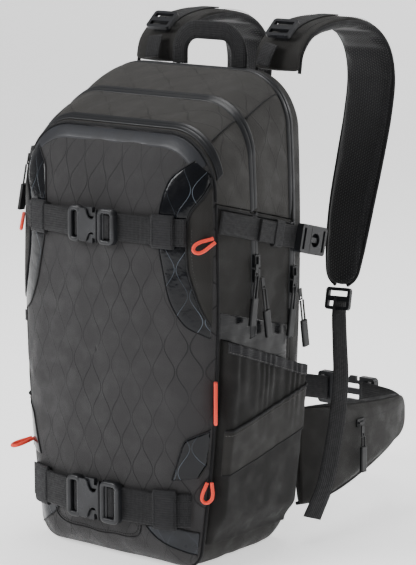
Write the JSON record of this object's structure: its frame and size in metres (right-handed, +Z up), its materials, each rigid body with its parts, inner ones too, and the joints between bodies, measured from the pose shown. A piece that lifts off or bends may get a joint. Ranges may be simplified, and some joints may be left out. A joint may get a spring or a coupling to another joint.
{
  "type": "ski backpack",
  "caption": "Tall padded ski backpack with zipped compartments, front and side compression straps, shoulder harness and hip belt.",
  "frame": {"origin": "middle of the flat base that the pack stands on", "axes": "+Z up, outer face towards -Y, harness towards +Y, +X the wearer's right"},
  "size_m": [0.3198, 0.4845, 0.5885],
  "materials": {
    "front_fabric": "tonal diamond-grid nylon",
    "shell_fabric": "coated nylon",
    "back_fabric": "nylon",
    "lining": "light lining",
    "frame_plastic": "polyethylene sheet",
    "stay_metal": "satin bar",
    "pad_mesh": "air mesh over foam",
    "pad_fabric": "padded nylon",
    "zip_tape": "water-resistant coated tape",
    "webbing": "woven webbing",
    "elastic": "woven elastic",
    "buckle_plastic": "moulded acetal",
    "red_cord": "braided cord",
    "slider_metal": "black lacquered slider, rubber grip"
  },
  "bodies": {
    "root": {"front_panel_lower": "front_fabric", "base_panel": "shell_fabric", "side_panels": "shell_fabric", "rear_gusset": "shell_fabric", "back_panel": "back_fabric", "compartment_divider": "lining", "frame_sheet": "frame_plastic", "frame_stays": "stay_metal", "back_pads": "pad_mesh", "lumbar_pad": "pad_mesh", "harness_yoke": "back_fabric", "main_zip_body_tape": "zip_tape", "second_zip_body_tape": "zip_tape", "front_webbings": "webbing", "strap_keepers": "elastic", "upper_buckle_female": "buckle_plastic", "lower_buckle_female": "buckle_plastic", "side_webbings": "webbing", "side_strap_elastics": "elastic", "side_buckle_females": "buckle_plastic", "right_side_pocket": "shell_fabric", "left_side_pocket": "shell_fabric", "pocket_elastics": "elastic", "pocket_wings": "shell_fabric", "gear_loops": "red_cord", "load_lifters": "webbing", "right_lower_webbing": "webbing", "left_lower_webbing": "webbing"},
    "flap": {"upper_front_panel": "front_fabric", "flap_gusset": "shell_fabric", "main_zip_flap_tape": "zip_tape", "second_zip_flap_tape": "zip_tape", "pocket_zip_tape": "zip_tape"},
    "pocket_slider": {"pocket_zip_slider": "slider_metal"},
    "haul": {"haul_loop": "webbing"},
    "right_strap": {"right_shoulder_pad": "pad_fabric", "right_ladder_locks": "buckle_plastic"},
    "right_hip": {"right_hip_wing": "pad_fabric", "right_hip_webbing": "webbing", "hip_buckle_male": "buckle_plastic"},
    "right_hip_slider": {"right_hip_slider": "slider_metal"},
    "right_side_male": {"right_side_buckle_male": "buckle_plastic"},
    "left_strap": {"left_shoulder_pad": "pad_fabric", "left_ladder_locks": "buckle_plastic"},
    "left_hip": {"left_hip_wing": "pad_fabric", "left_hip_webbing": "webbing", "hip_buckle_female": "buckle_plastic"},
    "left_hip_slider": {"left_hip_slider": "slider_metal"},
    "left_side_male": {"left_side_buckle_male": "buckle_plastic"},
    "upper_male": {"upper_buckle_male": "buckle_plastic"},
    "upper_prong_a": {"upper_buckle_prong_a": "buckle_plastic"},
    "upper_prong_b": {"upper_buckle_prong_b": "buckle_plastic"},
    "lower_male": {"lower_buckle_male": "buckle_plastic"},
    "lower_prong_a": {"lower_buckle_prong_a": "buckle_plastic"},
    "lower_prong_b": {"lower_buckle_prong_b": "buckle_plastic"},
    "main_upper_slider": {"main_zip_upper_slider": "slider_metal"},
    "main_lower_slider": {"main_zip_lower_slider": "slider_metal"},
    "second_upper_slider": {"second_zip_upper_slider": "slider_metal"},
    "second_lower_slider": {"second_zip_lower_slider": "slider_metal"}
  },
  "joints": [
    {"name": "flap_open", "type": "hinge", "parent": "root", "child": "flap", "pos_m": [0, -0.098, 0.414], "axis": [1, 0, 0], "range_deg": [0, 55]},
    {"name": "pocket_slider_run", "type": "slide", "parent": "flap", "child": "pocket_slider", "axis": [0.2656, 0, 0.9641], "range_m": [0, 0.012]},
    {"name": "haul_swing", "type": "hinge", "parent": "root", "child": "haul", "pos_m": [0, 0.091, 0.5335], "axis": [1, 0, 0], "range_deg": [-60, 45], "stiffness_Nm_per_rad": 0.03},
    {"name": "right_strap_swing", "type": "hinge", "parent": "root", "child": "right_strap", "pos_m": [0.087, 0.1045, 0.53], "axis": [1, 0, 0], "range_deg": [-10, 12], "deforming": ["right_lower_webbing"]},
    {"name": "right_hip_swing", "type": "hinge", "parent": "root", "child": "right_hip", "pos_m": [0.119, 0.098, 0.095], "axis": [0, 0, -1], "range_deg": [0, 10]},
    {"name": "right_hip_slider_run", "type": "slide", "parent": "right_hip", "child": "right_hip_slider", "axis": [0, 1, 0], "range_m": [0, 0.035]},
    {"name": "right_side_buckle_release", "type": "slide", "parent": "root", "child": "right_side_male", "axis": [0, -0.9703, 0.2419], "range_m": [0, 0.013]},
    {"name": "left_strap_swing", "type": "hinge", "parent": "root", "child": "left_strap", "pos_m": [-0.087, 0.1045, 0.53], "axis": [1, 0, 0], "range_deg": [-10, 12], "deforming": ["left_lower_webbing"]},
    {"name": "left_hip_swing", "type": "hinge", "parent": "root", "child": "left_hip", "pos_m": [-0.119, 0.098, 0.095], "axis": [0, 0, 1], "range_deg": [0, 10]},
    {"name": "left_hip_slider_run", "type": "slide", "parent": "left_hip", "child": "left_hip_slider", "axis": [0, 1, 0], "range_m": [0, 0.035]},
    {"name": "left_side_buckle_release", "type": "slide", "parent": "root", "child": "left_side_male", "axis": [0, -0.9703, 0.2419], "range_m": [0, 0.013]},
    {"name": "upper_buckle_release", "type": "slide", "parent": "root", "child": "upper_male", "axis": [1, 0, 0], "range_m": [0, 0.028]},
    {"name": "upper_prong_a_press", "type": "hinge", "parent": "upper_male", "child": "upper_prong_a", "pos_m": [0.00772, -0.1105, 0.388], "axis": [0, -1, 0], "range_deg": [0, 7], "stiffness_Nm_per_rad": 0.02},
    {"name": "upper_prong_b_press", "type": "hinge", "parent": "upper_male", "child": "upper_prong_b", "pos_m": [0.00772, -0.1105, 0.364], "axis": [0, -1, 0], "range_deg": [-7, 0], "stiffness_Nm_per_rad": 0.02},
    {"name": "lower_buckle_release", "type": "slide", "parent": "root", "child": "lower_male", "axis": [1, 0, 0], "range_m": [0, 0.028]},
    {"name": "lower_prong_a_press", "type": "hinge", "parent": "lower_male", "child": "lower_prong_a", "pos_m": [0.00892, -0.1105, 0.0844], "axis": [0, -1, 0], "range_deg": [0, 7], "stiffness_Nm_per_rad": 0.02},
    {"name": "lower_prong_b_press", "type": "hinge", "parent": "lower_male", "child": "lower_prong_b", "pos_m": [0.00892, -0.1105, 0.0556], "axis": [0, -1, 0], "range_deg": [-7, 0], "stiffness_Nm_per_rad": 0.02},
    {"name": "main_upper_slider_run", "type": "slide", "parent": "root", "child": "main_upper_slider", "axis": [0, 0, 1], "range_m": [0, 0.014]},
    {"name": "main_lower_slider_run", "type": "slide", "parent": "root", "child": "main_lower_slider", "axis": [0, 0, 1], "range_m": [-0.01, 0]},
    {"name": "second_upper_slider_run", "type": "slide", "parent": "root", "child": "second_upper_slider", "axis": [0, 0, 1], "range_m": [0, 0.013]},
    {"name": "second_lower_slider_run", "type": "slide", "parent": "root", "child": "second_lower_slider", "axis": [0, 0, 1], "range_m": [-0.01, 0]}
  ],
  "couplings": [
    {"joint": "upper_prong_b_press", "follows": "upper_prong_a_press", "ratio": -1},
    {"joint": "lower_prong_b_press", "follows": "lower_prong_a_press", "ratio": -1}
  ]
}
